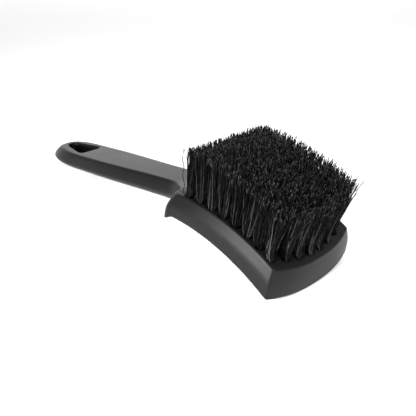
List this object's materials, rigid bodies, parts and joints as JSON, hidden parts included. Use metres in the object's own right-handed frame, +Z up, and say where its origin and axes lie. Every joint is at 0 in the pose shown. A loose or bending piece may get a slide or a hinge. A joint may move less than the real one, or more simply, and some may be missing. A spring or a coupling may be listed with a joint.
{
  "type": "wheel brush",
  "caption": "Short-handled scrubbing brush: one moulded handle and arched block with a hanging hole, set with rows of stiff bristle tufts held by metal anchors.",
  "frame": {"origin": "middle of the bounding box at the surface that the brush lies on", "axes": "+X from the handle tip to the front of the block, +Y across the brush, +Z up, the way the bristles point"},
  "size_m": [0.2289, 0.065, 0.0581],
  "materials": {
    "moulding": "fine-grained black polypropylene",
    "bristle": "black nylon filament",
    "anchor": "bare strip"
  },
  "bodies": {
    "root": {"handle_and_block": "moulding", "tuft_r1_c1": "bristle", "tuft_r1_c2": "bristle", "tuft_r1_c3": "bristle", "tuft_r1_c4": "bristle", "tuft_r1_c5": "bristle", "tuft_r1_c6": "bristle", "tuft_r1_c7": "bristle", "tuft_r1_c8": "bristle", "tuft_r2_c1": "bristle", "tuft_r2_c8": "bristle", "tuft_r3_c1": "bristle", "tuft_r3_c8": "bristle", "tuft_r4_c1": "bristle", "tuft_r4_c8": "bristle", "tuft_r5_c1": "bristle", "tuft_r5_c8": "bristle", "tuft_r6_c1": "bristle", "tuft_r6_c8": "bristle", "tuft_r7_c1": "bristle", "tuft_r7_c8": "bristle", "tuft_r8_c1": "bristle", "tuft_r8_c2": "bristle", "tuft_r8_c3": "bristle", "tuft_r8_c4": "bristle", "tuft_r8_c5": "bristle", "tuft_r8_c6": "bristle", "tuft_r8_c7": "bristle", "tuft_r8_c8": "bristle", "tufts_r2_inner": "bristle", "tufts_r3_inner": "bristle", "tufts_r4_inner": "bristle", "tufts_r5_inner": "bristle", "tufts_r6_inner": "bristle", "tufts_r7_inner": "bristle", "anchors_r1": "anchor", "anchors_r2": "anchor", "anchors_r3": "anchor", "anchors_r4": "anchor", "anchors_r5": "anchor", "anchors_r6": "anchor", "anchors_r7": "anchor", "anchors_r8": "anchor"}
  },
  "joints": []
}
